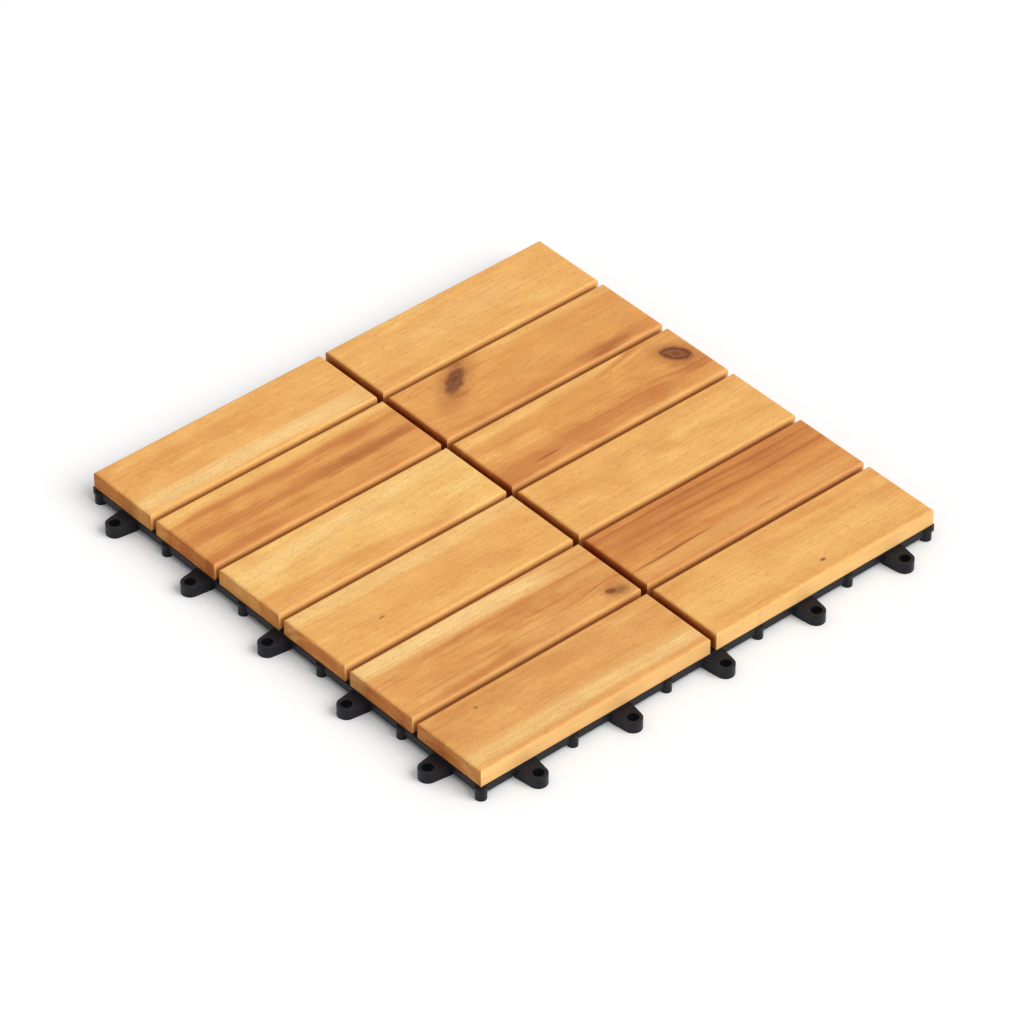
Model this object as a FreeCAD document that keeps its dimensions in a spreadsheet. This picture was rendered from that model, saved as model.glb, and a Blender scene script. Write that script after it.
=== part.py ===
# Interlocking deck tile: twelve hardwood slats screwed to one moulded plastic base.
#
# Frame: millimetres, +Z up. The origin is the middle of the laid 300 mm module, on the ground.
# The slats run along X, in two columns of six rows. The base has loops on its -X and -Y sides,
# and pegs that drop into a neighbour's loops on its +X and +Y sides.
import FreeCAD, Part
import Sketcher
import os

SLAT_ROWS = 6
SLAT_COLUMNS = 2
LOOPS_PER_SIDE = 5

# Sides of the small prisms that stand for round feet, posts, heads and shanks.
FOOT_SIDES = 12
POST_SIDES = 8
SHANK_SIDES = 6

# Driving dimensions, in millimetres.
SIZES = {
    "module_side": 300.0,      # pitch at which tiles are laid
    "deck_gap": 4.0,           # gap between slats, and between the slats of two laid tiles
    "slat_thick": 9.5,
    "slat_round": 1.5,         # rounding of a slat's top edges
    "foot_high": 2.9,          # clear height under the rails and ribs
    "rail_high": 4.4,
    "rail_wide": 6.5,
    "rail_proud": 0.5,         # how far the rail's face stands out from the slats
    "rib_wide": 4.5,
    "crossing_radius": 2.6,    # round post at each rib crossing that carries no screw
    "foot_radius": 2.75,       # feet under the rails
    "foot_drop": 0.4,          # from the rails' top down to the top of a foot
    "foot_bulge": 1.95,        # how far a foot on a loop side stands out from the rail's face
    "corner_foot_radius": 3.05,
    "inner_foot_inset": 4.6,   # feet on the peg sides, rail's face to the foot's axis
    "corner_flank": 3.4,       # slope of the corner feet towards the peg sides
    "loop_reach": 8.5,         # rail's face to the middle of a loop's hole
    "loop_radius": 4.9,
    "loop_root": 12.4,         # width of a loop where it leaves the rail
    "loop_hole_radius": 3.0,
    "peg_clearance": 0.3,      # between a peg and the wall of the loop's hole
    "notch_clearance": 0.6,    # between a neighbour's loop and the sides of its notch
    "notch_headroom": 0.2,     # between a neighbour's loop and the web over it
    "notch_web": 0.9,          # plastic left over a notch
    "web_margin": 1.5,         # width of the web around a notch
    "cut_spare": 1.0,          # how far a cutting tool stands past what it cuts
    "peg_short": 0.3,          # a peg's end stays clear of the ground by this
    "plate_deep": 13.5,        # plain moulded plate inside the -Y rail
    "plate_inner": 43.0,
    "plate_outer": 31.0,
    "plate_thick": 2.0,
    "boss_radius": 4.0,        # screw bosses
    "screw_radius": 1.5,
    "screw_slack": 0.2,        # around the shank in the base
    "pilot_slack": 0.05,       # around the shank in a slat
    "screw_bite": 7.0,         # length of shank in the slat
    "pilot_spare": 0.5,        # pilot hole past the screw's end
    "head_radius": 2.9,
    "head_high": 1.7,
    "head_slack": 0.35,
    "seat_deep": 2.0,          # depth of the head's seat in the boss
}

# Lengths that follow from the driving dimensions.
CELL = f"sizes.module_side / {SLAT_ROWS}"
COLUMN = f"sizes.module_side / {SLAT_COLUMNS}"
LOOP_PITCH = f"sizes.module_side / {LOOPS_PER_SIDE}"
RAIL_FACE = "((sizes.module_side - sizes.deck_gap) / 2 + sizes.rail_proud)"
RAIL_INNER = f"({RAIL_FACE} - sizes.rail_wide)"
RAIL_MIDDLE = f"({RAIL_FACE} - sizes.rail_wide / 2)"
BASE_TOP = "(sizes.foot_high + sizes.rail_high)"
NOTCH_TOP = f"({BASE_TOP} - sizes.notch_web)"
LOOP_TOP = f"({NOTCH_TOP} - sizes.notch_headroom)"
TILE_GAP = f"(sizes.module_side - 2 * {RAIL_FACE})"
PEG_INSET = f"(sizes.loop_reach - {TILE_GAP})"
LOOP_LINE = f"-({RAIL_FACE} + sizes.loop_reach)"
PEG_LINE = f"-({RAIL_FACE} - {PEG_INSET})"
FIRST_LOOP = f"-({LOOP_PITCH}) * {(LOOPS_PER_SIDE - 1) / 2}"
PEG_RADIUS = "(sizes.loop_hole_radius - sizes.peg_clearance)"
NOTCH_RADIUS = "(sizes.loop_radius + sizes.notch_clearance)"
NOTCH_ROOT = "(sizes.loop_root + 2 * sizes.notch_clearance)"
WEB_ROOT = f"({NOTCH_ROOT} + 2 * sizes.web_margin)"
WEB_RADIUS = f"({NOTCH_RADIUS} + sizes.web_margin)"
SEAT_TOP = "(sizes.foot_high + sizes.seat_deep)"
FOOT_TOP = f"({BASE_TOP} - sizes.foot_drop)"
CORNER_FOOT_INSET = "(sizes.corner_foot_radius - sizes.foot_bulge)"
SIDE_FOOT_INSET = "(sizes.foot_radius - sizes.foot_bulge)"
SCREW_SPAN = f"({COLUMN} - {CELL})"

# Turn from the -Y side to each side of the base, in degrees.
LOOP_SIDES = {"minus_y": 0, "minus_x": -90}
PEG_SIDES = {"plus_x": 90, "plus_y": 180}

doc = FreeCAD.newDocument("deck_tile")
sheet = doc.addObject("Spreadsheet::Sheet", "sizes")
for row, (alias, size) in enumerate(SIZES.items(), start=1):
    sheet.set(f"A{row}", alias)
    sheet.set(f"B{row}", str(size))
    sheet.setAlias(f"B{row}", alias)
doc.recompute()


def value(expression):
    """Number that an expression over the sheet gives."""
    result = sheet.evalExpression(expression)
    return float(getattr(result, "Value", result))


def new_body(label):
    body = doc.addObject("PartDesign::Body", label)
    body.Label = label
    return body


def origin_feature(body, role):
    return next(f for f in body.Origin.OriginFeatures if f.Role == role)


def new_sketch(body, name, height="0", turn=0, plane="XY_Plane"):
    """Sketch on an origin plane, at a height over it and turned in it."""
    sketch = body.newObject("Sketcher::SketchObject", name)
    sketch.AttachmentSupport = [(origin_feature(body, plane), "")]
    sketch.MapMode = "FlatFace"
    up = FreeCAD.Vector(0, 0, 1)
    sketch.AttachmentOffset = FreeCAD.Placement(FreeCAD.Vector(), FreeCAD.Rotation(up, turn))
    sketch.setExpression("AttachmentOffset.Base.z", height)
    return sketch


def pin(sketch, geometry, vertex, x, y):
    """Holds a point at a place given by two expressions."""
    for axis, kind, expression in ((-2, "DistanceX", x), (-1, "DistanceY", y)):
        place = value(expression)
        if abs(place) < 1e-9:
            sketch.addConstraint(Sketcher.Constraint("PointOnObject", geometry, vertex, axis))
            continue
        ends = (-1, 1, geometry, vertex) if place > 0 else (geometry, vertex, -1, 1)
        index = sketch.addConstraint(Sketcher.Constraint(kind, *ends, abs(place)))
        name = f"{kind[-1].lower()}_{geometry}_{vertex}"
        sketch.renameConstraint(index, name)
        sketch.setExpression(f"Constraints.{name}", expression if place > 0 else f"-({expression})")


def polygon(sketch, corners):
    """Closed outline of straight lines, each corner held by two expressions."""
    points = [FreeCAD.Vector(value(x), value(y), 0) for x, y in corners]
    lines = []
    for start, end in zip(points, points[1:] + points[:1]):
        lines.append(sketch.addGeometry(Part.LineSegment(start, end), False))
    for line, following in zip(lines, lines[1:] + lines[:1]):
        sketch.addConstraint(Sketcher.Constraint("Coincident", line, 2, following, 1))
    for line, (x, y) in zip(lines, corners):
        pin(sketch, line, 1, x, y)


def rectangle(sketch, left, right, low, high):
    polygon(sketch, [(left, low), (right, low), (right, high), (left, high)])


def circles(sketch, places, radius):
    """Equal circles about places given as pairs of expressions."""
    up = FreeCAD.Vector(0, 0, 1)
    rings = []
    for x, y in places:
        centre = FreeCAD.Vector(value(x), value(y), 0)
        rings.append(sketch.addGeometry(Part.Circle(centre, up, value(radius)), False))
        pin(sketch, rings[-1], 3, x, y)
    index = sketch.addConstraint(Sketcher.Constraint("Radius", rings[0], value(radius)))
    sketch.renameConstraint(index, f"radius_{rings[0]}")
    sketch.setExpression(f"Constraints.radius_{rings[0]}", radius)
    for ring in rings[1:]:
        sketch.addConstraint(Sketcher.Constraint("Equal", rings[0], ring))


def tongue(sketch, x, inner, face, tip, root, radius):
    """Outline with a straight root from inner to face, and a round end whose middle is at tip.

    The flanks run from the root's corners at the face to the round end, and touch it smoothly.
    """
    half = f"({root}) / 2"
    left, right = f"{x} - {half}", f"{x} + {half}"
    spots = [(left, face), (left, inner), (right, inner), (right, face)]
    points = [FreeCAD.Vector(value(a), value(b), 0) for a, b in spots]
    centre = FreeCAD.Vector(value(x), value(tip), 0)
    size = value(radius)
    reach = centre.y - points[0].y
    side = -1 if reach < 0 else 1
    start = centre + FreeCAD.Vector(-size, 0, 0)
    end = centre + FreeCAD.Vector(size, 0, 0)
    far = centre + FreeCAD.Vector(0, side * size, 0)
    outline = [
        Part.LineSegment(start, points[0]),
        Part.LineSegment(points[0], points[1]),
        Part.LineSegment(points[1], points[2]),
        Part.LineSegment(points[2], points[3]),
        Part.LineSegment(points[3], end),
    ]
    lines = [sketch.addGeometry(line, False) for line in outline]
    arc = sketch.addGeometry(Part.Arc(start, far, end), False)
    for line, following in zip(lines, lines[1:]):
        sketch.addConstraint(Sketcher.Constraint("Coincident", line, 2, following, 1))
    for line, (a, b) in zip(lines[1:], spots):
        pin(sketch, line, 1, a, b)
    pin(sketch, arc, 3, x, tip)
    index = sketch.addConstraint(Sketcher.Constraint("Radius", arc, size))
    sketch.renameConstraint(index, "end_radius")
    sketch.setExpression("Constraints.end_radius", radius)
    arc_start, arc_end = (1, 2) if side < 0 else (2, 1)
    sketch.addConstraint(Sketcher.Constraint("Tangent", lines[0], 1, arc, arc_start))
    sketch.addConstraint(Sketcher.Constraint("Tangent", lines[4], 2, arc, arc_end))


def pad(body, name, sketch, length):
    feature = body.newObject("PartDesign::Pad", name)
    feature.Profile = sketch
    feature.setExpression("Length", length)
    return feature


def pocket(body, name, sketch, length, upward=False):
    feature = body.newObject("PartDesign::Pocket", name)
    feature.Profile = sketch
    feature.setExpression("Length", length)
    feature.Reversed = upward
    return feature


def prism(body, name, kind, sides, place, low, high, radius):
    """Upright regular prism, Additive or Subtractive, from height low to high."""
    feature = body.newObject(f"PartDesign::{kind}Prism", name)
    feature.Polygon = sides
    feature.setExpression("Circumradius", radius)
    feature.setExpression("Height", f"{high} - ({low})")
    for axis, expression in zip("xyz", (*place, low)):
        feature.setExpression(f"Placement.Base.{axis}", expression)
    return feature


def pattern(body, name, originals, direction, pitch, count):
    """Copies of features along one direction, the pitch between them."""
    feature = body.newObject("PartDesign::LinearPattern", name)
    feature.Originals = originals
    feature.Direction = direction
    feature.Mode = "Extent"
    feature.setExpression("Length", f"({pitch}) * {count - 1}")
    feature.Occurrences = count
    body.Tip = feature
    return feature


def grid(body, name, originals, pitch_x, count_x, pitch_y, count_y):
    """Copies of features along X and Y."""
    axes = [(origin_feature(body, f"{a}_Axis"), [""]) for a in "XY"]
    feature = pattern(body, name, originals, axes[0], pitch_x, count_x)
    feature.Direction2 = axes[1]
    feature.Mode2 = "Extent"
    feature.setExpression("Length2", f"({pitch_y}) * {count_y - 1}")
    feature.Occurrences2 = count_y
    return feature


def turned(x, y, turn):
    """Expressions of a point after a quarter or half turn about the origin."""
    return {0: (x, y), 90: (f"-({y})", x), 180: (f"-({x})", f"-({y})"), -90: (y, f"-({x})")}[turn]


# Lattice of the base

def add_lattice(body):
    """Plate with diamond openings between diagonal ribs, as far as the middle of the rails."""
    sketch = new_sketch(body, "plate_outline", "sizes.foot_high")
    rectangle(sketch, f"-{RAIL_MIDDLE}", RAIL_MIDDLE, f"-{RAIL_MIDDLE}", RAIL_MIDDLE)
    pad(body, "plate", sketch, "sizes.rail_high")

    half = f"(({CELL}) / 2)"
    reach = f"({half} - sizes.rib_wide / sqrt(2))"
    first = f"-({CELL}) * {SLAT_ROWS / 2}"
    sketch = new_sketch(body, "cell_outline", "sizes.foot_high")
    for x, y in ((first, f"{first} + {half}"), (f"{first} + {half}", first)):
        polygon(sketch, [(f"{x} - {reach}", y), (x, f"{y} - {reach}"),
                         (f"{x} + {reach}", y), (x, f"{y} + {reach}")])
    cell = pocket(body, "cell", sketch, "sizes.rail_high", upward=True)
    grid(body, "cells", [cell], CELL, SLAT_ROWS + 1, CELL, SLAT_ROWS + 1)


def add_rails(body):
    """Rails round the edge, and a rib along the middle each way."""
    sketch = new_sketch(body, "rail_outline", "sizes.foot_high")
    rectangle(sketch, f"-{RAIL_FACE}", RAIL_FACE, f"-{RAIL_FACE}", RAIL_FACE)
    near, far = "sizes.rib_wide / 2", RAIL_INNER
    for left, right in ((f"-{far}", f"-{near}"), (near, far)):
        for low, high in ((f"-{far}", f"-{near}"), (near, far)):
            rectangle(sketch, left, right, low, high)
    pad(body, "rails", sketch, "sizes.rail_high")


def add_mark_plate(body):
    """Plain plate inside the middle of the -Y rail."""
    sketch = new_sketch(body, "mark_plate_outline", "sizes.foot_high")
    outer, inner = f"-{RAIL_MIDDLE}", f"-({RAIL_INNER} - sizes.plate_deep)"
    polygon(sketch, [("-sizes.plate_outer / 2", outer), ("sizes.plate_outer / 2", outer),
                     ("sizes.plate_inner / 2", inner), ("-sizes.plate_inner / 2", inner)])
    pad(body, "mark_plate", sketch, "sizes.plate_thick")


# Posts under the crossings, and bosses with seats for the screws

def add_posts(body):
    """Post at each crossing between the slats. Eight sides keep the many small posts light."""
    first = f"-({CELL}) * {SLAT_ROWS // 2 - 1}"
    post = prism(body, "crossing_post", "Additive", POST_SIDES, (first, first), "0",
                 "sizes.foot_high + sizes.rail_high / 2", "sizes.crossing_radius")
    grid(body, "crossing_posts", [post], CELL, SLAT_ROWS - 1, CELL, SLAT_ROWS - 1)


def screw_columns():
    """X of the screws: two in each slat."""
    middles = [f"({COLUMN}) * {column - (SLAT_COLUMNS - 1) / 2}" for column in range(SLAT_COLUMNS)]
    return [f"{middle} + {side} * {SCREW_SPAN} / 2" for middle in middles for side in (-1, 1)]


def add_bosses(body):
    stepped_rows(body, "boss", [(POST_SIDES, "sizes.foot_high", BASE_TOP, "sizes.boss_radius")])


def stepped_rows(body, name, steps):
    """Prisms on one axis at each screw's place. A step is sides, low, high and radius."""
    first_y = f"-({CELL}) * {(SLAT_ROWS - 1) / 2}"
    for number, x in enumerate(screw_columns(), start=1):
        originals = [prism(body, f"{name}_{number}_{part}", "Additive", sides, (x, first_y),
                           low, high, radius)
                     for part, (sides, low, high, radius) in enumerate(steps, start=1)]
        direction = (origin_feature(body, "Y_Axis"), [""])
        pattern(body, f"{name}_row_{number}", originals, direction, CELL, SLAT_ROWS)


def add_screw_seats(body):
    """Tool that cuts the heads' seats and the shanks' holes."""
    stepped_rows(body, "seat", [
        (POST_SIDES, "sizes.foot_high - sizes.cut_spare", SEAT_TOP,
         "sizes.head_radius + sizes.head_slack"),
        (SHANK_SIDES, SEAT_TOP, f"{BASE_TOP} + sizes.cut_spare",
         "sizes.screw_radius + sizes.screw_slack"),
    ])


# Feet under the rails

def add_feet(body):
    """Feet between the loops and between the pegs, and one at each corner."""
    first = f"-({LOOP_PITCH}) * {LOOPS_PER_SIDE / 2 - 1}"
    for sides, inset in ((LOOP_SIDES, SIDE_FOOT_INSET), (PEG_SIDES, "sizes.inner_foot_inset")):
        for side, turn in sides.items():
            place = turned(first, f"-({RAIL_FACE} - {inset})", turn)
            foot = prism(body, f"foot_{side}", "Additive", FOOT_SIDES, place, "0", FOOT_TOP,
                         "sizes.foot_radius")
            axis = "X_Axis" if turn in (0, 180) else "Y_Axis"
            feet = pattern(body, f"feet_{side}", [foot], (origin_feature(body, axis), [""]),
                           LOOP_PITCH, LOOPS_PER_SIDE - 1)
            feet.Reversed = turn in (180, -90)    # the first foot is at the far end there
    outer = f"({RAIL_FACE} - {CORNER_FOOT_INSET})"
    inner = f"({RAIL_FACE} - sizes.inner_foot_inset)"
    corners = {"front": (f"-{outer}", f"-{outer}"), "right": (inner, f"-{outer}"),
               "back": (inner, inner), "left": (f"-{outer}", inner)}
    for corner, place in corners.items():
        prism(body, f"corner_foot_{corner}", "Additive", FOOT_SIDES, place, "0", FOOT_TOP,
              "sizes.corner_foot_radius")


def add_corner_flanks(body):
    """Sloping flanks that join the two corner feet beside the peg sides to the rails' ends."""
    axis = f"({RAIL_FACE} - sizes.inner_foot_inset)"
    profile = [(axis, "0"), (f"{RAIL_FACE} - sizes.corner_flank", "0"),
               (RAIL_FACE, "sizes.foot_high + sizes.rail_high / 2"), (RAIL_FACE, FOOT_TOP),
               (axis, FOOT_TOP)]
    # the XZ plane faces -Y and the YZ plane faces +X, so each starts from its own side
    for corner, plane, start in (("right", "XZ_Plane", RAIL_INNER), ("left", "YZ_Plane",
                                                                     f"-{RAIL_FACE}")):
        sketch = new_sketch(body, f"flank_{corner}_outline", start, plane=plane)
        polygon(sketch, profile)
        pad(body, f"flank_{corner}", sketch, "sizes.rail_wide")


# Loops on two sides, notches and pegs on the other two

def add_loops(body):
    for side, turn in LOOP_SIDES.items():
        sketch = new_sketch(body, f"loop_{side}_outline", "0", turn)
        tongue(sketch, FIRST_LOOP, f"-{RAIL_MIDDLE}", f"-{RAIL_FACE}", LOOP_LINE,
               "sizes.loop_root", "sizes.loop_radius")
        circles(sketch, [(FIRST_LOOP, LOOP_LINE)], "sizes.loop_hole_radius")
        loop = pad(body, f"loop_{side}", sketch, LOOP_TOP)
        pattern(body, f"loops_{side}", [loop], (sketch, ["H_Axis"]), LOOP_PITCH, LOOPS_PER_SIDE)


def add_pegs(body):
    """Pegs, and the web that carries each over its notch."""
    for side, turn in PEG_SIDES.items():
        sketch = new_sketch(body, f"web_{side}_outline", NOTCH_TOP, turn)
        tongue(sketch, FIRST_LOOP, f"-{RAIL_FACE}", f"-{RAIL_MIDDLE}", PEG_LINE, WEB_ROOT, WEB_RADIUS)
        web = pad(body, f"web_{side}", sketch, "sizes.notch_web")
        pattern(body, f"webs_{side}", [web], (sketch, ["H_Axis"]), LOOP_PITCH, LOOPS_PER_SIDE)
    steps = [f"({LOOP_PITCH}) * {number - (LOOPS_PER_SIDE - 1) / 2}"
             for number in range(LOOPS_PER_SIDE)]
    places = [turned(step, PEG_LINE, turn) for turn in PEG_SIDES.values() for step in steps]
    sketch = new_sketch(body, "peg_outline", "sizes.peg_short")
    circles(sketch, places, PEG_RADIUS)
    pad(body, "pegs", sketch, f"{BASE_TOP} - sizes.peg_short")


def add_notches(body):
    """Tool that cuts the notches, and leaves the pegs standing in them."""
    beyond = f"-({RAIL_FACE} + sizes.cut_spare)"
    for side, turn in PEG_SIDES.items():
        sketch = new_sketch(body, f"notch_{side}_outline", "-sizes.cut_spare", turn)
        tongue(sketch, FIRST_LOOP, beyond, f"-{RAIL_FACE}", PEG_LINE, NOTCH_ROOT, NOTCH_RADIUS)
        circles(sketch, [(FIRST_LOOP, PEG_LINE)], PEG_RADIUS)
        notch = pad(body, f"notch_{side}", sketch, f"{NOTCH_TOP} + sizes.cut_spare")
        pattern(body, f"notches_{side}", [notch], (sketch, ["H_Axis"]), LOOP_PITCH, LOOPS_PER_SIDE)


def make_base():
    """One moulding: everything that stands in it joined at once, then the notches and seats cut."""
    solid, hollow = [], []
    for group, name, *steps in ((solid, "lattice", add_lattice),
                                (solid, "rails", add_rails, add_mark_plate, add_corner_flanks),
                                (solid, "loops", add_loops),
                                (solid, "posts", add_posts),
                                (solid, "bosses", add_bosses),
                                (solid, "feet", add_feet),
                                (solid, "pegs", add_pegs),
                                (hollow, "notches", add_notches),
                                (hollow, "screw_seats", add_screw_seats)):
        body = new_body(f"base_{name}")
        for step in steps:
            step(body)
        group.append(body)
    joined = doc.addObject("Part::MultiFuse", "base_joined")
    joined.Shapes = solid
    joined.Refine = False
    cutters = doc.addObject("Part::Compound", "base_cutters")
    cutters.Links = hollow
    base = doc.addObject("Part::Cut", "base_grid")
    base.Label = "base_grid"
    base.Base = joined
    base.Tool = cutters
    base.Refine = True
    return base


# Slats

def make_slat(label, x, y):
    """Slat with rounded top edges and two pilot holes from below."""
    body = new_body(label)
    for axis, expression in zip("xyz", (x, y, BASE_TOP)):
        body.setExpression(f"Placement.Base.{axis}", expression)
    sketch = new_sketch(body, f"{label}_outline")
    half_long = f"({COLUMN} - sizes.deck_gap) / 2"
    half_wide = f"({CELL} - sizes.deck_gap) / 2"
    rectangle(sketch, f"-({half_long})", half_long, f"-({half_wide})", half_wide)
    board = pad(body, f"{label}_board", sketch, "sizes.slat_thick")
    doc.recompute()
    top = max(range(len(board.Shape.Faces)), key=lambda i: board.Shape.Faces[i].CenterOfMass.z)
    edges = body.newObject("PartDesign::Fillet", f"{label}_edges")
    edges.Base = (board, [f"Face{top + 1}"])
    edges.setExpression("Radius", "sizes.slat_round")
    for number, side in enumerate((-1, 1), start=1):
        prism(body, f"{label}_pilot_{number}", "Subtractive", SHANK_SIDES,
              (f"{side} * {SCREW_SPAN} / 2", "0"), "0", "sizes.screw_bite + sizes.pilot_spare",
              "sizes.screw_radius + sizes.pilot_slack")
    return body


def make_slats():
    slats = []
    for column, side in enumerate(("left", "right")):
        x = f"({COLUMN}) * {column - (SLAT_COLUMNS - 1) / 2}"
        for number in range(SLAT_ROWS):
            y = f"({CELL}) * {number - (SLAT_ROWS - 1) / 2}"
            slats.append(make_slat(f"slat_{side}_{number + 1}", x, y))
    return slats


# Screws

def make_screws():
    """Pan head screws, driven up through the base into the slats."""
    body = new_body("deck_screws")
    head_low = f"({SEAT_TOP} - sizes.head_high)"
    stepped_rows(body, "screw", [
        (POST_SIDES, head_low, SEAT_TOP, "sizes.head_radius"),
        (SHANK_SIDES, SEAT_TOP, f"{BASE_TOP} + sizes.screw_bite", "sizes.screw_radius"),
    ])
    return body


parts = [make_base(), *make_slats(), make_screws()]
doc.recompute()

for item in doc.Objects:
    broken = {"Invalid", "Error"} & set(item.State)
    if broken:
        raise RuntimeError(f"{item.Name} is {broken}")
for part in parts:
    if part.Shape.isNull() or not part.Shape.isValid():
        raise RuntimeError(f"{part.Label} has no valid shape")

os.makedirs("parts", exist_ok=True)
for part in parts:
    part.Shape.exportStep(f"parts/{part.Label}.step")
    print(part.Label, len(part.Shape.Solids), "solids", round(part.Shape.Volume, 1), "mm3")
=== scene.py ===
"""Looks of an interlocking deck tile: oiled hardwood slats on a black plastic lattice base.

Metres, in the frame of the packed model. The slats run along X, and the top faces +Z.
The wood works in millimetres from the middle of its own slat, apart from deck_x and deck_y.
"""
import math
from collections import namedtuple

import bmesh
import bpy
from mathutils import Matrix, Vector


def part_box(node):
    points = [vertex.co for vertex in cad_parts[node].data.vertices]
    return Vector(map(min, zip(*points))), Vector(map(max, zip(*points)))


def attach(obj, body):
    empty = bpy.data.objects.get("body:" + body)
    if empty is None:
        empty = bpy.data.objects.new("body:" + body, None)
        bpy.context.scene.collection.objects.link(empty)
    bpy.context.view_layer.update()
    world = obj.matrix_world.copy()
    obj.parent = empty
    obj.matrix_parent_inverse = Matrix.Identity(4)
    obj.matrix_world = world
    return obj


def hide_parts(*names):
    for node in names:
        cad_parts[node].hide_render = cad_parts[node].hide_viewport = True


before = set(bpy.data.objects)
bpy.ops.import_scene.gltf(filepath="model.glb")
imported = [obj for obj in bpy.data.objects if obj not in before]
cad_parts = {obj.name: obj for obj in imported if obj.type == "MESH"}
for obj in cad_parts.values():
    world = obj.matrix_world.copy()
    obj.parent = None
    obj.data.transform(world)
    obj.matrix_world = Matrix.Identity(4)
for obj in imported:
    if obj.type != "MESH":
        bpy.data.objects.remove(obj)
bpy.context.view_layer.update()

MM = 0.001

# Tile
MODULE = 300.0 * MM
ROWS = 6
SCREW_SPACING = 100.0 * MM    # between the two screws of a slat

# Pan head screws
SEGMENTS = 24
SHANK_RADIUS = 1.5 * MM
SHANK_TIP = 0.4               # the tip's share of the shank's radius
HEAD_RADIUS = 2.9 * MM
HEAD_HIGH = 1.7 * MM
# shares of the head's radius and of its height, from the seat to the top of the dome
HEAD_PROFILE = ((1.0, 0.0), (1.0, 0.35), (0.97, 0.60), (0.88, 0.82), (0.72, 0.95), (0.58, 1.0))
RECESS_REACH = 1.45 * MM
RECESS_HALF = 0.42 * MM
RECESS_STEP = 0.78 * MM
RECESS_DEEP = 1.0 * MM
RECESS_BOTTOM = 0.6           # the bottom's share of the recess's outline

# Camera, as the photograph looks at the tiles
VIEW_TURN = math.radians(-41.0)
VIEW_ELEVATION = math.radians(39.4)
VIEW_DISTANCE = 2.8
VIEW_LENS = 198.0
VIEW_SENSOR = 36.0
VIEW_TARGET = Vector((-0.0040, -0.0046, 0.008))

# Light and floor
WORLD_STRENGTH = 0.55
KEY_FROM = Vector((0.30, -0.68, 0.67))
KEY_STRENGTH = 2.10
KEY_SOFTNESS = math.radians(50.0)
FLOOR_SIDE = 40.0

# Colours, linear
STRIP = (0.95, 0.62, 0.245)
HONEY = (0.90, 0.51, 0.150)
GOLDEN = (0.85, 0.43, 0.118)
TAN = (0.78, 0.375, 0.105)
ORANGE = (0.76, 0.33, 0.083)
RUST = (0.66, 0.240, 0.055)
BROWN = (0.59, 0.205, 0.046)
UMBER = (0.37, 0.105, 0.020)
KNOT = (0.125, 0.024, 0.004)
END_TINT = (0.82, 0.63, 0.50)
# painted shade for the slats' sides low down in the gaps
GAP_PAINTED_SHADE_TINT = (0.62, 0.40, 0.30)
PLASTIC = (0.0062, 0.0064, 0.0098)
PLASTIC_WORN = (0.0125, 0.0128, 0.017)
ZINC = (0.55, 0.55, 0.56)
ZINC_DULL = (0.32, 0.31, 0.30)
FLOOR = (0.82, 0.82, 0.82)
FLOOR_SEEN = (1.03, 1.03, 1.03)
WHITE = (1.0, 1.0, 1.0)

# Plastic and zinc. Scales are patches in a metre.
PLASTIC_GRAIN = (2600.0, 2600.0, 2600.0)
PLASTIC_CLOUD = (45.0, 45.0, 90.0)
PLASTIC_WORN_EDGE = (0.48, 0.72)
PLASTIC_ROUGHNESS = 0.34
PLASTIC_SPECULAR = 0.22
PLASTIC_RELIEF = 0.06 * MM
PLASTIC_EDGE_RADIUS = 0.4 * MM
ZINC_PATCHES = (500.0, 500.0, 500.0)
ZINC_GRAIN = (6000.0, 6000.0, 6000.0)
ZINC_DULL_EDGE = (0.42, 0.66)
ZINC_ROUGHNESS = 0.26
ZINC_RELIEF = 0.02 * MM

# Wood, in millimetres
SLAT_HALF_HIGH = 4.75
DECK_HALF = 148.0             # half the side over the slats
PITH_TILT = 0.06              # how fast the middle of the rings rises along X
RINGS_PER_MM = 0.42
RING_LONG = 300.0             # how far the rings keep their tone along X
WANDER = 8.0                  # how far the grain strays across the slat
WOOD_ROUGHNESS = 0.42
WOOD_SPECULAR = 0.26
WOOD_RELIEF = 0.12 * MM

# Noises drawn out along the grain
Grain = namedtuple("Grain", "long wide shift detail roughness")
BROAD = Grain(190.0, 10.0, 2.0, 2.0, 0.5)
STREAKS = Grain(110.0, 1.9, 4.0, 3.0, 0.6)
THREADS = Grain(45.0, 0.75, 5.0, 2.0, 0.6)
FIBRE = Grain(15.0, 0.38, 6.0, 2.0, 0.6)
PORES = Grain(4.5, 0.30, 8.0, 1.0, 0.5)

# Noises in the plane of the face: length and width of a patch
WANDER_PATCH = (120.0, 60.0)
MOTTLE_PATCH = (26.0, 12.0)
FIGURE_PATCH = (4.5, 11.0)
FIGURE_LEAN = 0.7
FLECK_PATCH = (6.5, 1.6)
SAW_PATCH = (1.6, 60.0)
TORN_PATCH = (6.0, 1.2)
END_DOTS = (0.2, 2.2, 2.2)    # in a millimetre, along and across the end

# Tone: a fixed part of each noise, and a part that comes with the look's streak
TONE_MIDDLE = 0.52
TONE_BROAD = (0.7, 1.0)
TONE_RINGS = (0.2, 0.9)
TONE_STREAKS = (0.15, 0.8)
TONE_MOTTLE = (0.5, 0.0)
TONE_STOPS = (0.15, 0.45, 0.60, 0.90)    # dark, main, main, light

# Shade: how far each noise darkens and lightens the tone
SHADE_POWERS = (0.6, 1.05, 1.4)
SHADE_THREADS = 0.42
SHADE_FIBRE = 0.42
SHADE_FIGURE = 0.16
SHADE_MOTTLE = 0.44
END_RING_SHADE = (0.35, 0.65, 0.80, 1.08)
END_DOT_SHADE = (0.30, 0.70, 0.78, 1.12)

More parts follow.
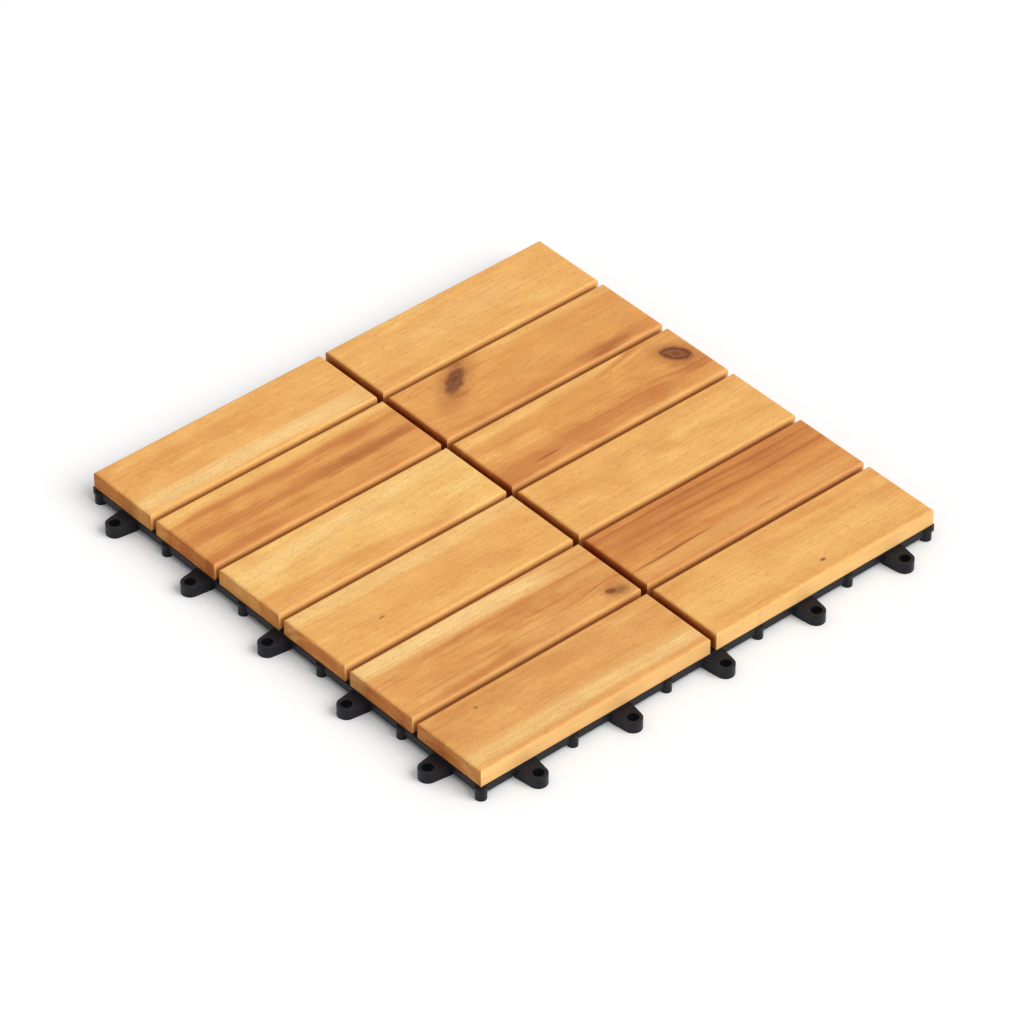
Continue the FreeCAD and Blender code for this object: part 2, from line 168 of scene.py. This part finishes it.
# Edges of what is painted on the wood
FLECK_EDGE = (0.56, 0.76)
FLECK_COVER = 0.26
PORE_EDGE = (0.62, 0.74)
PORE_COVER = 0.50
SAW_EDGE = (0.35, 0.75)
SAW_COVER = 0.35
# painted light: how far the long sides are made paler, as the light they catch
SIDE_PAINTED_LIGHT = 0.45
# painted shade: the slats' sides darker low down in the gaps between them
GAP_SHADE_RIM = (1.0, 1.6)        # from the deck's edge inwards
GAP_SHADE_DEPTH = (1.8, 4.2)      # from the slat's top downwards
GAP_SHADE_UPRIGHT = (0.80, 0.30)  # part of the normal along Z
BAND_FADE = 18.0              # half the length over which a band's end fades
BAND_FRAY = 1.1
BAND_EDGE = (0.9, 0.15)       # shares of the width where a band begins and is full
TORN_FRAY = 2.6
KNOT_GRAIN = (4.5, 2.6)       # how far the grain bends, along and across, in knot sizes
KNOT_PUSH = 0.8
KNOT_RINGS = 8.4
KNOT_RING_SHARE = 0.4
KNOT_WAVES = 0.35             # of its outline, in a millimetre
KNOT_WAVER = (0.25, 0.7)      # a fixed part, and a part that comes with its softness
KNOT_EDGE = (1.15, 0.95)
KNOT_COVER = 0.95
HALO_EDGE = (2.4, 0.5)
HALO_STRENGTH = 0.6
FACING = (0.70, 0.95)         # part of the normal at which a face begins and is full

Look = namedtuple("Look", "tones streak lean pith bands knots specks torn",
                  defaults=(0.4, 0.0, (4.0, -34.0), (), (), (), ()))
Look.__doc__ = """What one slat shows.

tones are its dark, main and light colours, and streak is how strongly they mix. lean turns
the grain in the face, and pith is the middle of the rings. torn lists the patches of torn
grain on the underside.
"""
Band = namedtuple("Band", "y width start end slope tone strength")
Knot = namedtuple("Knot", "x y half_long half_wide turn strength soft")
Speck = namedtuple("Speck", "x y half_long half_wide tone strength soft", defaults=(0.5,))

# Row 6 is at the back and row 1 at the front, as the photograph shows the top of a stack.
LOOKS = {
    "slat_left_6": Look((TAN, GOLDEN, HONEY), 0.35, pith=(-2, -40), bands=(
        Band(10, 16, -100, 30, 0.03, ORANGE, 0.5),
        Band(-16, 9, -80, 70, 0.0, STRIP, 0.85)),
        torn=(Speck(52, -6, 26.0, 15.0, BROWN, 0.8), Speck(60, -7, 15.0, 10.0, KNOT, 0.9))),
    "slat_right_6": Look((TAN, GOLDEN, HONEY), 0.35, pith=(8, -32), bands=(
        Band(2, 14, -40, 50, 0.05, STRIP, 0.25),
        Band(-16, 7, -90, 30, 0.0, TAN, 0.5))),
    "slat_left_5": Look((BROWN, ORANGE, GOLDEN), 0.5, lean=-0.02, bands=(
        Band(20, 9, -90, 90, 0.0, HONEY, 0.9),
        Band(11, 4, -75, 80, -0.02, BROWN, 0.8),
        Band(-3, 8, -75, 80, -0.02, BROWN, 0.9),
        Band(-3, 8, 15, 70, 0.0, UMBER, 0.45),
        Band(-18, 6, -90, -20, 0.0, BROWN, 0.8),
        Band(-16, 5, -20, 80, 0.0, ORANGE, 0.7))),
    "slat_right_5": Look((BROWN, ORANGE, GOLDEN), 0.35, bands=(
        Band(20, 6, -20, 90, 0.0, HONEY, 0.7),
        Band(0, 8, -20, 90, 0.0, TAN, 0.7),
        Band(-19, 7, -60, 30, 0.0, BROWN, 0.5),
        Band(-20, 7, 24, 62, 0.03, BROWN, 0.95),
        Band(-21, 5, 34, 50, 0.03, UMBER, 0.60)),
        knots=(Knot(-39, 11, 14.5, 5.4, 0.68, 1.0, 0.55),),
        specks=(Speck(-33, 16, 7.0, 1.6, UMBER, 0.5), Speck(-44, 6, 6.0, 1.2, UMBER, 0.5),
                Speck(34, -21, 7.0, 1.0, UMBER, 0.5), Speck(46, -19, 8.0, 1.2, UMBER, 0.4))),
    "slat_left_4": Look((TAN, HONEY, STRIP), 0.3, lean=-0.05, pith=(12, -28), bands=(
        Band(12, 9, -90, 90, 0.0, STRIP, 0.4),),
        specks=(Speck(-110, -28, 150.0, 24.0, ORANGE, 0.70, 0.06),
                Speck(-112, -30, 140.0, 19.0, HONEY, 0.30, 0.20)),
        torn=(Speck(-35, -1, 42.0, 17.0, BROWN, 0.8), Speck(-38, 2, 30.0, 10.0, UMBER, 0.9))),
    "slat_right_4": Look((BROWN, ORANGE, GOLDEN), 0.5, bands=(
        Band(19, 8, -90, 50, 0.03, HONEY, 0.85),
        Band(14, 5, -70, 75, 0.04, ORANGE, 0.7),
        Band(12, 4, 20, 60, 0.12, BROWN, 0.8),
        Band(-14, 12, -90, 50, 0.03, BROWN, 0.75),
        Band(-22, 4, 0, 90, 0.0, TAN, 0.8)),
        knots=(Knot(61.5, 4, 9.6, 6.0, -0.86, 1.0, 0.25),),
        specks=(Speck(-43, -15, 8.0, 0.9, UMBER, 0.8),)),
    "slat_left_3": Look((TAN, GOLDEN, HONEY), 0.35, pith=(-8, -30), bands=(
        Band(17, 9, -90, 90, 0.0, STRIP, 0.55),
        Band(-5, 9, -90, 70, 0.0, ORANGE, 0.30)),
        specks=(Speck(-36, -7, 1.8, 0.7, KNOT, 0.6),)),
    "slat_right_3": Look((TAN, GOLDEN, HONEY), 0.35, pith=(-12, -38), bands=(
        Band(-18, 8, -20, 90, 0.0, HONEY, 0.6),
        Band(8, 12, -90, 10, 0.0, TAN, 0.4))),
    "slat_left_2": Look((BROWN, TAN, GOLDEN), 0.5, bands=(
        Band(17, 10, -90, 45, 0.0, STRIP, 0.95),
        Band(7, 3.5, -45, 90, 0.01, BROWN, 0.75),
        Band(-4, 9, -90, -10, 0.0, ORANGE, 0.7),
        Band(-19, 5, -60, 0, 0.03, BROWN, 0.75),
        Band(-2, 9, 25, 70, 0.0, BROWN, 0.4)),
        knots=(Knot(65.5, -17, 5.2, 4.0, 0.1, 0.6, 0.7),
               Knot(60.5, -15, 3.0, 2.2, -0.3, 0.95, 0.5))),
    "slat_right_2": Look((BROWN, RUST, ORANGE), 0.5, lean=0.01, bands=(
        Band(7, 5, -90, 90, -0.02, BROWN, 0.7),
        Band(16, 4, -90, 90, 0.0, BROWN, 0.6),
        Band(-1, 5, -90, -10, 0.0, BROWN, 0.5),
        Band(-17, 9, -90, 70, 0.0, TAN, 0.9),
        Band(-2, 7, 10, 90, 0.0, ORANGE, 0.8)),
        specks=(Speck(-47, -12, 24.0, 1.0, UMBER, 0.9), Speck(0, 17, 80.0, 1.0, UMBER, 0.5),
                Speck(15, 7, 70.0, 1.2, UMBER, 0.55), Speck(20, 13, 60.0, 0.8, UMBER, 0.3),
                Speck(-30, 2, 40.0, 0.9, UMBER, 0.3), Speck(15, -15, 8.0, 1.2, BROWN, 0.6))),
    "slat_left_1": Look((ORANGE, TAN, HONEY), 0.4, bands=(
        Band(12, 14, -100, 30, 0.0, BROWN, 0.35),
        Band(-14, 10, -90, 90, 0.0, STRIP, 0.6),
        Band(-22, 4, -50, 90, 0.0, TAN, 0.5)),
        specks=(Speck(-45, 14, 1.2, 0.8, KNOT, 0.6),)),
    "slat_right_1": Look((TAN, GOLDEN, HONEY), 0.4, bands=(
        Band(17, 5, 0, 90, 0.0, ORANGE, 0.75),
        Band(5, 2.5, 20, 90, 0.0, ORANGE, 0.6),
        Band(18, 5, -75, -55, 0.0, ORANGE, 0.6),
        Band(-4, 15, -90, 60, 0.0, HONEY, 0.7)),
        specks=(Speck(5, -14, 1.6, 1.0, KNOT, 0.8),)),
}


class Paint:
    """Adds shader nodes to a material or a world.

    A term is a node's output, a number or a tuple.
    """

    def __init__(self, painted):
        painted.use_nodes = True
        self.painted = painted
        self.tree = painted.node_tree
        self.tree.nodes.clear()

    def feed(self, socket, term):
        if isinstance(term, bpy.types.NodeSocket):
            self.tree.links.new(term, socket)
        elif isinstance(term, tuple) and socket.type == "RGBA":
            socket.default_value = (*term, 1.0)
        else:
            socket.default_value = term

    def node(self, kind, terms=(), **settings):
        node = self.tree.nodes.new(kind)
        for key, setting in settings.items():
            setattr(node, key, setting)
        pairs = terms.items() if isinstance(terms, dict) else enumerate(terms)
        for key, term in pairs:
            self.feed(node.inputs[key], term)
        return node

    def math(self, operation, *terms):
        return self.node("ShaderNodeMath", terms, operation=operation).outputs[0]

    def add(self, *terms):
        total = terms[0]
        for term in terms[1:]:
            total = self.math("ADD", total, term)
        return total

    def times(self, *terms):
        product = terms[0]
        for term in terms[1:]:
            product = self.math("MULTIPLY", product, term)
        return product

    def less(self, first, second):
        return self.math("SUBTRACT", first, second)

    def over(self, first, second):
        return self.math("DIVIDE", first, second)

    def magnitude(self, term):
        """The term without its sign."""
        return self.math("ABSOLUTE", term)

    def squares(self, first, second):
        """Sum of two squares."""
        return self.add(self.times(first, first), self.times(second, second))

    def swing(self, noise, share):
        """A noise about zero, times its share."""
        return self.times(self.less(noise, 0.5), share)

    def vector(self, operation, *terms):
        return self.node("ShaderNodeVectorMath", terms, operation=operation).outputs[0]

    def scaled(self, vector, *scales):
        return self.vector("MULTIPLY", vector, scales)

    def join(self, x, y, z):
        return self.node("ShaderNodeCombineXYZ", (x, y, z)).outputs[0]

    def split(self, vector):
        return self.node("ShaderNodeSeparateXYZ", (vector,)).outputs[:3]

    def noise(self, vector, detail=2.0, roughness=0.5):
        terms = {"Vector": vector, "Scale": 1.0, "Detail": detail, "Roughness": roughness}
        return self.node("ShaderNodeTexNoise", terms).outputs["Fac"]

    def ease(self, term, low, high, start=0.0, end=1.0):
        """Smooth step of a term, from start at low to end at high."""
        if low > high:
            low, high, start, end = high, low, end, start
        return self.node("ShaderNodeMapRange", (term, low, high, start, end),
                         interpolation_type="SMOOTHSTEP").outputs[0]

    def mix(self, factor, first, second, mode="MIX"):
        node = self.node("ShaderNodeMix", data_type="RGBA", blend_type=mode)
        for name, term in (("Factor_Float", factor), ("A_Color", first), ("B_Color", second)):
            self.feed(next(s for s in node.inputs if s.identifier == name), term)
        return next(s for s in node.outputs if s.identifier == "Result_Color")

    def tint(self, colour, by):
        """Product of two colours."""
        return self.mix(1.0, colour, by, "MULTIPLY")

    def shade(self, colour, level):
        """Colour made darker and redder, or lighter and paler, as its level leaves 1."""
        powers = [self.math("POWER", level, power) for power in SHADE_POWERS]
        return self.tint(colour, self.join(*powers))

    def ramp(self, factor, stops):
        node = self.node("ShaderNodeValToRGB", (factor,))
        elements = node.color_ramp.elements
        for element, (place, colour) in zip(elements, (stops[0], stops[-1])):
            element.position, element.color = place, (*colour, 1.0)
        for place, colour in stops[1:-1]:
            elements.new(place).color = (*colour, 1.0)
        return node.outputs[0]

    def bump(self, height, depth, strength, **terms):
        terms.update({"Strength": strength, "Distance": depth, "Height": height})
        return self.node("ShaderNodeBump", terms).outputs[0]

    def finish(self, **terms):
        """Ends in a Principled shader. Names use underscores for the sockets' spaces."""
        named = {name.replace("_", " "): term for name, term in terms.items()}
        shader = self.node("ShaderNodeBsdfPrincipled", named)
        self.node("ShaderNodeOutputMaterial", (shader.outputs[0],))
        return self.painted


class Board(Paint):
    """Oiled hardwood of one slat: rings about a tilted pith, with streaks, fibre and pores.

    The seed moves each noise, so that no two slats are alike.
    """

    def __init__(self, name, centre, look, seed):
        super().__init__(bpy.data.materials.new(name))
        self.look, self.seed = look, seed
        coordinates = self.node("ShaderNodeTexCoord")
        place = self.scaled(coordinates.outputs["Object"], 1 / MM, 1 / MM, 1 / MM)
        self.local = self.vector("SUBTRACT", place, tuple(centre / MM))
        self.x, self.y, self.z = self.split(self.local)
        self.deck_x, self.deck_y, _ = self.split(place)
        self.normal_x, self.normal_y, self.normal_z = self.split(coordinates.outputs["Normal"])
        self.grain_y = self.bent_grain()
        self.rings = self.ring_noise()
        self.broad, self.streaks, self.threads, self.fibre, self.pores = (
            self.grain_noise(grain) for grain in (BROAD, STREAKS, THREADS, FIBRE, PORES))
        self.mottle = self.patch_noise(self.x, self.y, MOTTLE_PATCH, seed * 5.0, 3.0)

    def patch_noise(self, x, y, patch, shift, detail=2.0, roughness=0.5):
        long, wide = patch
        spot = self.join(self.over(x, long), self.over(y, wide), shift)
        return self.noise(spot, detail, roughness)

    def grain_noise(self, grain):
        spot = self.join(self.add(self.over(self.x, grain.long), self.seed * 7.3 + grain.shift),
                         self.over(self.grain_y, grain.wide), self.over(self.z, grain.wide))
        return self.noise(spot, grain.detail, grain.roughness)

    def ring_noise(self):
        pith_y, pith_z = self.look.pith
        off_z = self.less(self.z, self.add(pith_z, self.times(self.x, PITH_TILT)))
        radius = self.math("SQRT", self.squares(self.less(self.grain_y, pith_y), off_z))
        spot = self.join(self.times(radius, RINGS_PER_MM), self.seed * 3.1,
                         self.over(self.x, RING_LONG))
        return self.noise(spot, 3.0, 0.6)

    def bent_grain(self):
        """Y as the grain counts it: it wanders, leans, and passes knots on both sides."""
        wander = self.patch_noise(self.x, self.y, WANDER_PATCH, self.seed)
        grain_y = self.add(self.y, self.swing(wander, WANDER), self.times(self.x, self.look.lean))
        for knot in self.look.knots:
            size = max(knot.half_wide, 0.5 * knot.half_long)
            reach_x, reach_y = (size * reach for reach in KNOT_GRAIN)
            off_y = self.less(grain_y, knot.y)
            far = self.squares(self.over(self.less(self.x, knot.x), reach_x),
                               self.over(off_y, reach_y))
            near = self.math("EXPONENT", self.times(far, -1.0))
            grain_y = self.less(grain_y, self.times(off_y, near, KNOT_PUSH * knot.strength))
        return grain_y

    def ellipse(self, along, across, spot):
        """Distance from a spot's middle, 1 on its outline."""
        return self.math("SQRT", self.squares(self.over(along, spot.half_long),
                                              self.over(across, spot.half_wide)))

    def knot_distance(self, knot):
        """Distance on the knot's own turned ellipse, with a wavering outline."""
        dx, dy = self.less(self.x, knot.x), self.less(self.y, knot.y)
        cos, sin = math.cos(knot.turn), math.sin(knot.turn)
        along = self.add(self.times(dx, cos), self.times(dy, sin))
        across = self.less(self.times(dy, cos), self.times(dx, sin))
        spot = self.join(self.times(dx, KNOT_WAVES), self.times(dy, KNOT_WAVES), knot.x)
        fixed, with_softness = KNOT_WAVER
        waver = self.swing(self.noise(spot, 3.0), fixed + with_softness * knot.soft)
        return self.add(self.ellipse(along, across, knot), waver)

    def with_knots(self, colour):
        outer, inner = KNOT_EDGE
        for knot in self.look.knots:
            far = self.knot_distance(knot)
            wave = self.math("COSINE", self.times(far, KNOT_RINGS))
            rings = self.add(0.5, self.times(wave, 0.5))
            ring_share = KNOT_RING_SHARE * (1.0 - knot.soft)
            halo = self.times(self.ease(far, *HALO_EDGE), HALO_STRENGTH * knot.strength)
            colour = self.mix(halo, colour, UMBER)
            core = self.times(self.ease(far, outer, inner - knot.soft), knot.strength,
                              self.add(KNOT_COVER - ring_share, self.times(rings, ring_share)))
            colour = self.mix(core, colour, KNOT)
        return colour

    def with_bands(self, colour):
        """Soft bands of another colour along the grain, with frayed edges."""
        fray = self.add(self.swing(self.streaks, 1.0), self.swing(self.mottle, 0.8))
        outer, inner = BAND_EDGE
        for band in self.look.bands:
            middle = self.add(self.times(self.x, band.slope), band.y)
            off = self.add(self.magnitude(self.less(self.grain_y, middle)),
                           self.times(fray, band.width * BAND_FRAY))
            across = self.ease(off, band.width * outer, band.width * inner)
            along = self.times(self.ease(self.x, band.start - BAND_FADE, band.start + BAND_FADE),
                               self.ease(self.x, band.end + BAND_FADE, band.end - BAND_FADE))
            colour = self.mix(self.times(across, along, band.strength), colour, band.tone)
        return colour

    def cover(self, speck, stray=0.0):
        """How much of a speck shows. A stray term roughens its outline."""
        far = self.ellipse(self.less(self.x, speck.x), self.less(self.grain_y, speck.y), speck)
        edge = self.ease(self.add(far, stray), 1.0 + speck.soft, 1.0 - speck.soft)
        return self.times(edge, speck.strength)

    def with_specks(self, colour):
        for speck in self.look.specks:
            colour = self.mix(self.cover(speck), colour, speck.tone)
        return colour

    def with_torn_patches(self, colour, under):
        """Dark, torn grain round knots, on the underside only."""
        if self.look.torn:
            fibres = self.patch_noise(self.x, self.grain_y, TORN_PATCH, 1.0, 3.0, 0.7)
            stray = self.swing(fibres, TORN_FRAY)
            for patch in self.look.torn:
                cover = self.times(self.cover(patch, stray), under)
                colour = self.mix(cover, colour, patch.tone)
        return colour

    def tone(self):
        """The look's own colours, mixed by the noises."""
        level = TONE_MIDDLE
        for noise, (fixed, with_streak) in ((self.broad, TONE_BROAD), (self.rings, TONE_RINGS),
                                            (self.streaks, TONE_STREAKS),
                                            (self.mottle, TONE_MOTTLE)):
            swing = self.swing(noise, fixed + with_streak * self.look.streak)
            level = self.add(level, swing)
        dark, main, light = self.look.tones
        return self.ramp(level, tuple(zip(TONE_STOPS, (dark, main, main, light))))

    def face(self):
        """Colour of the wood as its top shows it."""
        x, y = self.x, self.y
        colour = self.with_knots(self.with_specks(self.with_bands(self.tone())))
        figure = self.patch_noise(self.add(x, self.times(y, FIGURE_LEAN)), y, FIGURE_PATCH,
                                  self.seed * 2.0)
        colour = self.shade(colour, self.add(
            1.0, self.swing(self.threads, SHADE_THREADS), self.swing(self.fibre, SHADE_FIBRE),
            self.swing(figure, SHADE_FIGURE), self.swing(self.mottle, SHADE_MOTTLE)))
        flecks = self.patch_noise(self.add(x, y), self.less(y, x), FLECK_PATCH,
                                  self.seed * 4.0, 1.0)
        fleck_cover = self.times(self.ease(flecks, *FLECK_EDGE), FLECK_COVER)
        pore_cover = self.times(self.ease(self.pores, *PORE_EDGE), PORE_COVER)
        return self.mix(pore_cover, self.mix(fleck_cover, colour, BROWN), UMBER)

    def with_end_grain(self, colour, end_face):
        dots = self.noise(self.scaled(self.local, *END_DOTS), 2.0, 0.7)
        level = self.times(self.ease(self.rings, *END_RING_SHADE),
                           self.ease(dots, *END_DOT_SHADE))
        return self.mix(end_face, colour, self.tint(self.shade(colour, level), END_TINT))

    def with_sides(self, colour):
        """Paler long sides, dark low down in the gaps from oil and dust."""
        # painted light: the long sides mixed towards a paler colour
        painted_side_light = self.times(self.ease(self.magnitude(self.normal_y), *FACING), SIDE_PAINTED_LIGHT)
        colour = self.mix(painted_side_light, colour, STRIP)
        # painted shade: the sides in the gaps made darker low down, away from the deck's edge
        rim = self.math("MAXIMUM", self.magnitude(self.deck_x), self.magnitude(self.deck_y))
        inside = self.ease(rim, *(DECK_HALF - inwards for inwards in GAP_SHADE_RIM))
        side = self.ease(self.magnitude(self.normal_z), *GAP_SHADE_UPRIGHT)
        low_down = self.ease(self.z, *(SLAT_HALF_HIGH - depth for depth in GAP_SHADE_DEPTH))
        return self.mix(self.times(inside, side, low_down), colour,
                        self.tint(colour, GAP_PAINTED_SHADE_TINT))

    def make(self):
        end_face = self.ease(self.magnitude(self.normal_x), *FACING)
        under = self.ease(self.normal_z, -FACING[0], -FACING[1])
        saw = self.patch_noise(self.x, self.y, SAW_PATCH, self.seed * 1.7, 2.0, 0.6)
        saw_marks = self.times(under, self.ease(saw, *SAW_EDGE), SAW_COVER)
        colour = self.with_sides(self.with_end_grain(self.face(), end_face))
        colour = self.mix(saw_marks, colour, BROWN)
        colour = self.with_torn_patches(colour, under)
        height = self.add(self.times(self.fibre, 0.5), self.times(self.threads, 0.4),
                          self.times(self.pores, -0.4), self.times(saw, under, 1.2))
        roughness = self.add(WOOD_ROUGHNESS, self.times(self.fibre, 0.16),
                             self.times(end_face, 0.2), self.times(under, 0.15))
        return self.finish(Base_Color=colour, Roughness=roughness,
                           Specular_IOR_Level=WOOD_SPECULAR,
                           Normal=self.bump(height, WOOD_RELIEF, 0.6))


def black_plastic(name):
    """Moulded plastic: fine grain, faint flow marks and a paler bloom where it is handled."""
    paint = Paint(bpy.data.materials.new(name))
    place = paint.node("ShaderNodeTexCoord").outputs["Object"]
    grain = paint.noise(paint.scaled(place, *PLASTIC_GRAIN), 2.0, 0.6)
    cloud = paint.noise(paint.scaled(place, *PLASTIC_CLOUD), 4.0, 0.6)
    worn = paint.ease(cloud, *PLASTIC_WORN_EDGE)
    colour = paint.mix(worn, PLASTIC, PLASTIC_WORN)
    roughness = paint.add(PLASTIC_ROUGHNESS, paint.times(worn, 0.14), paint.times(grain, 0.10))
    soft_edge = paint.node("ShaderNodeBevel", {"Radius": PLASTIC_EDGE_RADIUS}, samples=4)
    normal = paint.bump(grain, PLASTIC_RELIEF, 0.5, Normal=soft_edge.outputs[0])
    return paint.finish(Base_Color=colour, Roughness=roughness,
                        Specular_IOR_Level=PLASTIC_SPECULAR, Normal=normal)


def zinc_steel(name):
    """Bright zinc on small screws, duller in patches."""
    paint = Paint(bpy.data.materials.new(name))
    place = paint.node("ShaderNodeTexCoord").outputs["Object"]
    patches = paint.noise(paint.scaled(place, *ZINC_PATCHES), 3.0, 0.6)
    fine = paint.noise(paint.scaled(place, *ZINC_GRAIN))
    colour = paint.mix(paint.ease(patches, *ZINC_DULL_EDGE), ZINC, ZINC_DULL)
    roughness = paint.add(ZINC_ROUGHNESS, paint.times(patches, 0.22))
    return paint.finish(Base_Color=colour, Metallic=1.0, Roughness=roughness,
                        Normal=paint.bump(fine, ZINC_RELIEF, 0.5))


def dress(node, material):
    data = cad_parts[node].data
    data.materials.clear()
    data.materials.append(material)


def dress_slats():
    for number, (node, look) in enumerate(LOOKS.items(), start=1):
        low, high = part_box(node)
        dress(node, Board(f"wood_{node}", (low + high) / 2, look, float(number)).make())


def ring(mesh, centre, radius, height):
    turns = [2 * math.pi * i / SEGMENTS for i in range(SEGMENTS)]
    return [mesh.verts.new(centre + Vector((radius * math.cos(t), radius * math.sin(t), height)))
            for t in turns]


def cross_ring(mesh, centre, scale, height):
    """Outline of the driver's cross, with one point for each of the head's segments."""
    quarter = ((RECESS_REACH, 0.0), (RECESS_REACH, RECESS_HALF), (RECESS_STEP, RECESS_HALF),
               (RECESS_HALF, RECESS_HALF), (RECESS_HALF, RECESS_STEP), (RECESS_HALF, RECESS_REACH))
    points = []
    for cos, sin in ((1, 0), (0, 1), (-1, 0), (0, -1)):
        for x, y in quarter:
            spot = Vector((cos * x - sin * y, sin * x + cos * y, 0)) * scale
            points.append(mesh.verts.new(centre + spot + Vector((0, 0, height))))
    return points


def add_screw(mesh, seat, shank_top):
    """Pan head screw, head down. The head meets the base at the seat."""
    shank = shank_top - seat.z
    rings = [ring(mesh, seat, SHANK_RADIUS * SHANK_TIP, shank),
             ring(mesh, seat, SHANK_RADIUS, shank - SHANK_RADIUS),
             ring(mesh, seat, SHANK_RADIUS, 0.0)]
    rings += [ring(mesh, seat, HEAD_RADIUS * wide, -HEAD_HIGH * deep)
              for wide, deep in HEAD_PROFILE]
    rings.append(cross_ring(mesh, seat, 1.0, -HEAD_HIGH))
    rings.append(cross_ring(mesh, seat, RECESS_BOTTOM, RECESS_DEEP - HEAD_HIGH))
    for upper, lower in zip(rings, rings[1:]):
        for i in range(SEGMENTS):
            j = (i + 1) % SEGMENTS
            mesh.faces.new((lower[i], lower[j], upper[j], upper[i]))
    mesh.faces.new(rings[0])
    mesh.faces.new(list(reversed(rings[-1])))


def make_screws():
    """All the screws as one piece, where the CAD has their solids."""
    low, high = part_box("deck_screws")
    mesh = bmesh.new()
    for middle in (-MODULE / 4, MODULE / 4):
        for x in (middle - SCREW_SPACING / 2, middle + SCREW_SPACING / 2):
            for row in range(ROWS):
                y = (row - (ROWS - 1) / 2) * MODULE / ROWS
                add_screw(mesh, Vector((x, y, low.z + HEAD_HIGH)), high.z)
    bmesh.ops.recalc_face_normals(mesh, faces=mesh.faces)
    data = bpy.data.meshes.new("pan_head_screws")
    mesh.to_mesh(data)
    mesh.free()
    data.materials.append(zinc_steel("zinc_screws"))
    screws = bpy.data.objects.new("pan_head_screws", data)
    bpy.context.collection.objects.link(screws)
    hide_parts("deck_screws")
    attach(screws, "root")


def seen_as_background(paint):
    """1 for the rays that should meet a white background."""
    path = paint.node("ShaderNodeLightPath")
    seen = paint.math("MAXIMUM", path.outputs["Is Camera Ray"], path.outputs["Is Glossy Ray"])
    return paint.math("MAXIMUM", seen, path.outputs["Is Transmission Ray"])


def make_floor():
    """Pale floor. The camera sees it near white, and it lights the object as a grey one does."""
    bpy.ops.mesh.primitive_plane_add(size=FLOOR_SIDE, location=(0, 0, 0))
    floor = bpy.context.object
    floor.name = "studio_floor"
    paint = Paint(bpy.data.materials.new("studio_floor"))
    colour = paint.mix(seen_as_background(paint), FLOOR, FLOOR_SEEN)
    shader = paint.node("ShaderNodeBsdfDiffuse", {"Color": colour})
    paint.node("ShaderNodeOutputMaterial", (shader.outputs[0],))
    floor.data.materials.append(paint.painted)


def make_world():
    """Even light, which the camera and reflections see as white."""
    world = bpy.data.worlds.new("studio")
    bpy.context.scene.world = world
    paint = Paint(world)
    strength = paint.ease(seen_as_background(paint), 0.0, 1.0, WORLD_STRENGTH, 1.0)
    background = paint.node("ShaderNodeBackground", {"Color": WHITE, "Strength": strength})
    paint.node("ShaderNodeOutputWorld", (background.outputs[0],))


def make_key():
    data = bpy.data.lights.new("key", "SUN")
    data.energy = KEY_STRENGTH
    data.angle = KEY_SOFTNESS
    light = bpy.data.objects.new("key", data)
    light.rotation_euler = (-KEY_FROM).to_track_quat("-Z", "Y").to_euler()
    bpy.context.collection.objects.link(light)


def make_camera():
    sideways = Vector((math.sin(VIEW_TURN), -math.cos(VIEW_TURN), 0))
    away = sideways * math.cos(VIEW_ELEVATION) + Vector((0, 0, math.sin(VIEW_ELEVATION)))
    data = bpy.data.cameras.new("camera")
    data.lens = VIEW_LENS
    data.sensor_width = VIEW_SENSOR
    camera = bpy.data.objects.new("camera", data)
    camera.location = VIEW_TARGET + away * VIEW_DISTANCE
    camera.rotation_euler = (-away).to_track_quat("-Z", "Y").to_euler()
    bpy.context.collection.objects.link(camera)
    bpy.context.scene.camera = camera


dress_slats()
dress("base_grid", black_plastic("moulded_plastic"))
dress("deck_screws", zinc_steel("zinc"))
make_screws()
make_floor()
make_world()
make_key()
make_camera()
bpy.context.scene.view_settings.view_transform = "Standard"
